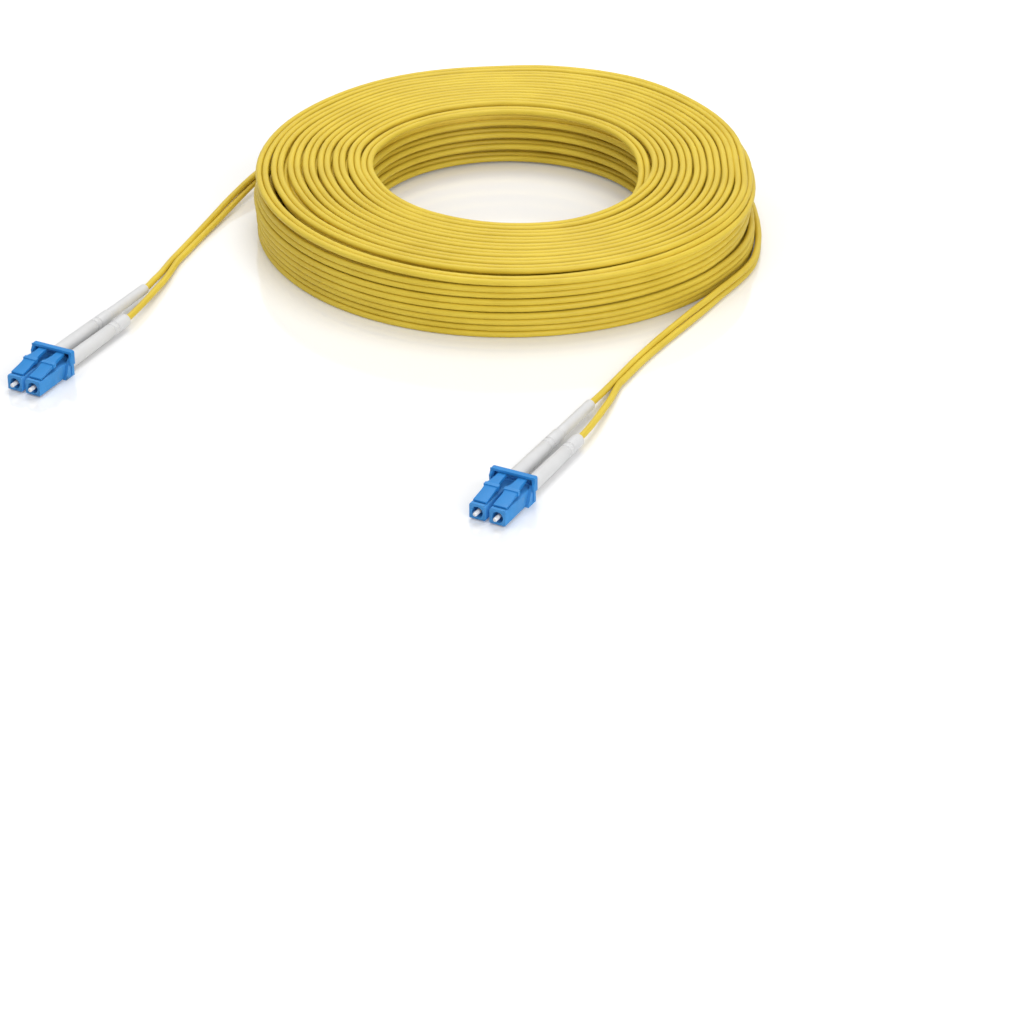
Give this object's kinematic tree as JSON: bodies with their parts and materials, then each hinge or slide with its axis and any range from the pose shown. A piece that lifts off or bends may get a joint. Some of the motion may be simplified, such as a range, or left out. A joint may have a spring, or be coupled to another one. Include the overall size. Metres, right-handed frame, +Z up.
{
  "type": "fiber optic patch cord",
  "caption": "Coiled yellow duplex fibre patch cord with a blue latched two-ferrule plug, white boots and a press bar on each end.",
  "frame": {"origin": "middle of the coil, on the surface that the coil and both plugs lie on", "axes": "+Z up out of the coil; both plugs lie towards -Y, and the second connector is on the -X side"},
  "size_m": [0.2293, 0.2739, 0.0201],
  "materials": {
    "cord_jacket": "soft satin jacket",
    "plug_plastic": "satin moulded",
    "clip_plastic": "satin moulded",
    "boot_plastic": "satin moulded",
    "ceramic": "polished zirconia",
    "holder_metal": "turned",
    "spring_steel": "drawn wire",
    "rear_metal": "plated",
    "fibre_buffer": "smooth"
  },
  "bodies": {
    "root": {"coil_core": "cord_jacket", "coil_turns": "cord_jacket", "a1_housing": "plug_plastic", "a1_spring": "spring_steel", "a1_rear_body": "rear_metal", "a1_crimp_sleeve": "rear_metal", "a1_boot": "boot_plastic", "a1_leg": "cord_jacket", "a2_housing": "plug_plastic", "a2_spring": "spring_steel", "a2_rear_body": "rear_metal", "a2_crimp_sleeve": "rear_metal", "a2_boot": "boot_plastic", "a2_leg": "cord_jacket", "b1_housing": "plug_plastic", "b1_spring": "spring_steel", "b1_rear_body": "rear_metal", "b1_crimp_sleeve": "rear_metal", "b1_boot": "boot_plastic", "b1_leg": "cord_jacket", "b2_housing": "plug_plastic", "b2_spring": "spring_steel", "b2_rear_body": "rear_metal", "b2_crimp_sleeve": "rear_metal", "b2_boot": "boot_plastic", "b2_leg": "cord_jacket", "a_clip": "clip_plastic", "a_marker_sleeve": "boot_plastic", "a_zip_cord": "cord_jacket", "b_clip": "clip_plastic", "b_marker_sleeve": "boot_plastic", "b_zip_cord": "cord_jacket"},
    "a1_latch_lever": {"a1_latch": "plug_plastic"},
    "a1_floating_ferrule": {"a1_ferrule": "ceramic", "a1_ferrule_holder": "holder_metal", "a1_fibre": "fibre_buffer"},
    "a2_latch_lever": {"a2_latch": "plug_plastic"},
    "a2_floating_ferrule": {"a2_ferrule": "ceramic", "a2_ferrule_holder": "holder_metal", "a2_fibre": "fibre_buffer"},
    "b1_latch_lever": {"b1_latch": "plug_plastic"},
    "b1_floating_ferrule": {"b1_ferrule": "ceramic", "b1_ferrule_holder": "holder_metal", "b1_fibre": "fibre_buffer"},
    "b2_latch_lever": {"b2_latch": "plug_plastic"},
    "b2_floating_ferrule": {"b2_ferrule": "ceramic", "b2_ferrule_holder": "holder_metal", "b2_fibre": "fibre_buffer"},
    "a_press": {"a_press_bar": "clip_plastic"},
    "b_press": {"b_press_bar": "clip_plastic"}
  },
  "joints": [
    {"name": "a_press_slide", "type": "slide", "parent": "root", "child": "a_press", "axis": [0, 0, -1], "range_m": [0, 0.0014], "stiffness_N_per_m": 900},
    {"name": "a1_latch_hinge", "type": "hinge", "parent": "root", "child": "a1_latch_lever", "pos_m": [-0.00196, -0.19018, 0.0052], "axis": [-0.887, 0.4617, 0], "range_deg": [0, 7], "stiffness_Nm_per_rad": 0.1},
    {"name": "a1_ferrule_float", "type": "slide", "parent": "root", "child": "a1_floating_ferrule", "axis": [0.4617, 0.887, 0], "range_m": [0, 0.001], "stiffness_N_per_m": 900, "springref_m": -0.004, "deforming": ["a1_spring"]},
    {"name": "a2_latch_hinge", "type": "hinge", "parent": "root", "child": "a2_latch_lever", "pos_m": [-0.0075, -0.18729, 0.0052], "axis": [-0.887, 0.4617, 0], "range_deg": [0, 7], "stiffness_Nm_per_rad": 0.1},
    {"name": "a2_ferrule_float", "type": "slide", "parent": "root", "child": "a2_floating_ferrule", "axis": [0.4617, 0.887, 0], "range_m": [0, 0.001], "stiffness_N_per_m": 900, "springref_m": -0.004, "deforming": ["a2_spring"]},
    {"name": "b_press_slide", "type": "slide", "parent": "root", "child": "b_press", "axis": [0, 0, -1], "range_m": [0, 0.0014], "stiffness_N_per_m": 900},
    {"name": "b1_latch_hinge", "type": "hinge", "parent": "root", "child": "b1_latch_lever", "pos_m": [-0.13806, -0.11558, 0.0052], "axis": [-0.887, 0.4617, 0], "range_deg": [0, 7], "stiffness_Nm_per_rad": 0.1},
    {"name": "b1_ferrule_float", "type": "slide", "parent": "root", "child": "b1_floating_ferrule", "axis": [0.4617, 0.887, 0], "range_m": [0, 0.001], "stiffness_N_per_m": 900, "springref_m": -0.004, "deforming": ["b1_spring"]},
    {"name": "b2_latch_hinge", "type": "hinge", "parent": "root", "child": "b2_latch_lever", "pos_m": [-0.1436, -0.11269, 0.0052], "axis": [-0.887, 0.4617, 0], "range_deg": [0, 7], "stiffness_Nm_per_rad": 0.1},
    {"name": "b2_ferrule_float", "type": "slide", "parent": "root", "child": "b2_floating_ferrule", "axis": [0.4617, 0.887, 0], "range_m": [0, 0.001], "stiffness_N_per_m": 900, "springref_m": -0.004, "deforming": ["b2_spring"]}
  ],
  "couplings": [
    {"joint": "a1_latch_hinge", "follows": "a_press_slide", "rad_per_m": 82.286},
    {"joint": "a2_latch_hinge", "follows": "a_press_slide", "rad_per_m": 82.286},
    {"joint": "b1_latch_hinge", "follows": "b_press_slide", "rad_per_m": 82.286},
    {"joint": "b2_latch_hinge", "follows": "b_press_slide", "rad_per_m": 82.286}
  ]
}
